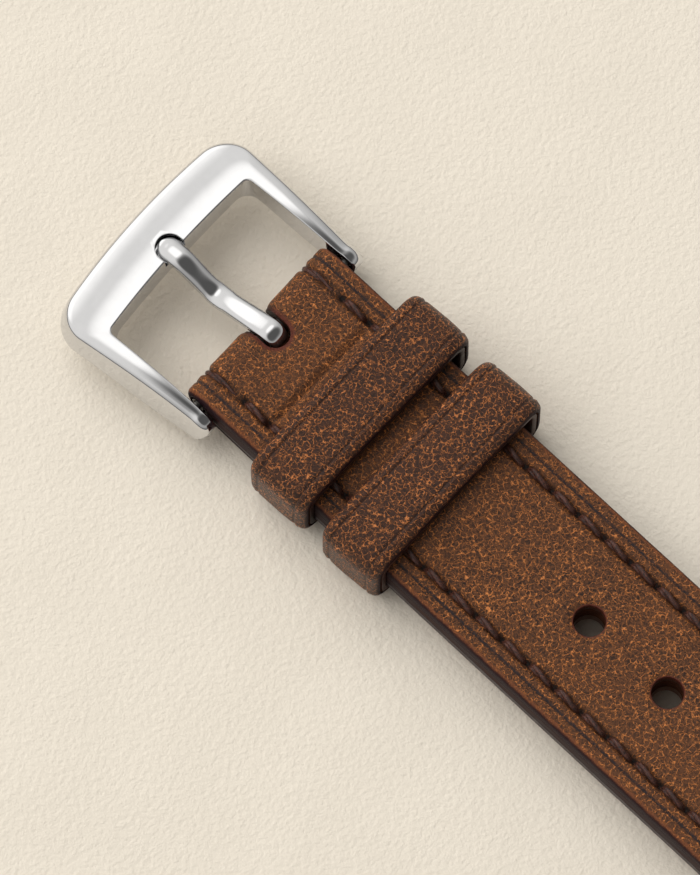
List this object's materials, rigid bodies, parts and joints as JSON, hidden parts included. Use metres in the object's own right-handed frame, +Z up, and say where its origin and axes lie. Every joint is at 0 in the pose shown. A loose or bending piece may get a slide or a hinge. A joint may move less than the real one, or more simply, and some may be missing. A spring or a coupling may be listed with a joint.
{
  "type": "leather watch strap",
  "caption": "Padded leather watch strap, buckle side, with a hinged pin buckle, a fixed keeper, a sliding keeper and a sprung bar at each end.",
  "frame": {"origin": "on the strap's wrist side, midway between the buckle's spring bar and the watch's spring bar", "axes": "+X along the strap from the buckle to the watch, +Y across the strap, +Z up, away from the wrist"},
  "size_m": [0.091, 0.0208, 0.007],
  "materials": {
    "grained_leather": "crackle-grained brown leather, waxed",
    "padding_board": "pressed leather board, edge painted",
    "lining_leather": "smooth red-brown lining leather",
    "waxed_thread": "waxed dark brown twisted thread",
    "polished_steel": "mirror polished",
    "bar_steel": "turned steel",
    "spring_wire": "drawn spring wire"
  },
  "bodies": {
    "strap": {"top_skin": "grained_leather", "padding": "padding_board", "wrist_lining": "lining_leather", "thread_row_left": "waxed_thread", "thread_row_right": "waxed_thread", "fixed_keeper_skin": "grained_leather", "fixed_keeper_lining": "lining_leather"},
    "free_keeper": {"free_keeper_skin": "grained_leather", "free_keeper_lining": "lining_leather"},
    "buckle": {"buckle_frame": "polished_steel"},
    "tongue": {"buckle_tongue": "polished_steel"},
    "buckle_bar": {"buckle_bar_tube": "bar_steel", "buckle_bar_spring": "spring_wire"},
    "buckle_bar_left": {"buckle_bar_tip_left": "bar_steel"},
    "buckle_bar_right": {"buckle_bar_tip_right": "bar_steel"},
    "watch_bar": {"watch_bar_tube": "bar_steel", "watch_bar_spring": "spring_wire"},
    "watch_bar_left": {"watch_bar_tip_left": "bar_steel"},
    "watch_bar_right": {"watch_bar_tip_right": "bar_steel"}
  },
  "joints": [
    {"name": "buckle_swing", "type": "hinge", "parent": "strap", "child": "buckle", "pos_m": [-0.0375, 0, 0.00155], "axis": [0, 1, 0], "range_deg": [-30, 35]},
    {"name": "tongue_lift", "type": "hinge", "parent": "buckle", "child": "tongue", "pos_m": [-0.0375, 0, 0.00155], "axis": [0, 1, 0], "range_deg": [0, 60]},
    {"name": "keeper_slide", "type": "slide", "parent": "strap", "child": "free_keeper", "axis": [1, 0, 0], "range_m": [-0.0017, 0.05]},
    {"name": "buckle_bar_spin", "type": "hinge", "parent": "buckle", "child": "buckle_bar", "pos_m": [-0.0375, 0, 0.00155], "axis": [0, 1, 0], "continuous": true},
    {"name": "buckle_bar_left_push", "type": "slide", "parent": "buckle_bar", "child": "buckle_bar_left", "axis": [0, 1, 0], "range_m": [0, 0.00095], "stiffness_N_per_m": 800, "springref_m": -0.0005, "deforming": ["buckle_bar_spring"]},
    {"name": "buckle_bar_right_push", "type": "slide", "parent": "buckle_bar", "child": "buckle_bar_right", "axis": [0, -1, 0], "range_m": [0, 0.00095], "stiffness_N_per_m": 800, "springref_m": -0.0005, "deforming": ["buckle_bar_spring"]},
    {"name": "watch_bar_spin", "type": "hinge", "parent": "strap", "child": "watch_bar", "pos_m": [0.0375, 0, 0.00155], "axis": [0, 1, 0], "continuous": true},
    {"name": "watch_bar_left_push", "type": "slide", "parent": "watch_bar", "child": "watch_bar_left", "axis": [0, 1, 0], "range_m": [0, 0.00095], "stiffness_N_per_m": 800, "springref_m": -0.0005, "deforming": ["watch_bar_spring"]},
    {"name": "watch_bar_right_push", "type": "slide", "parent": "watch_bar", "child": "watch_bar_right", "axis": [0, -1, 0], "range_m": [0, 0.00095], "stiffness_N_per_m": 800, "springref_m": -0.0005, "deforming": ["watch_bar_spring"]}
  ]
}
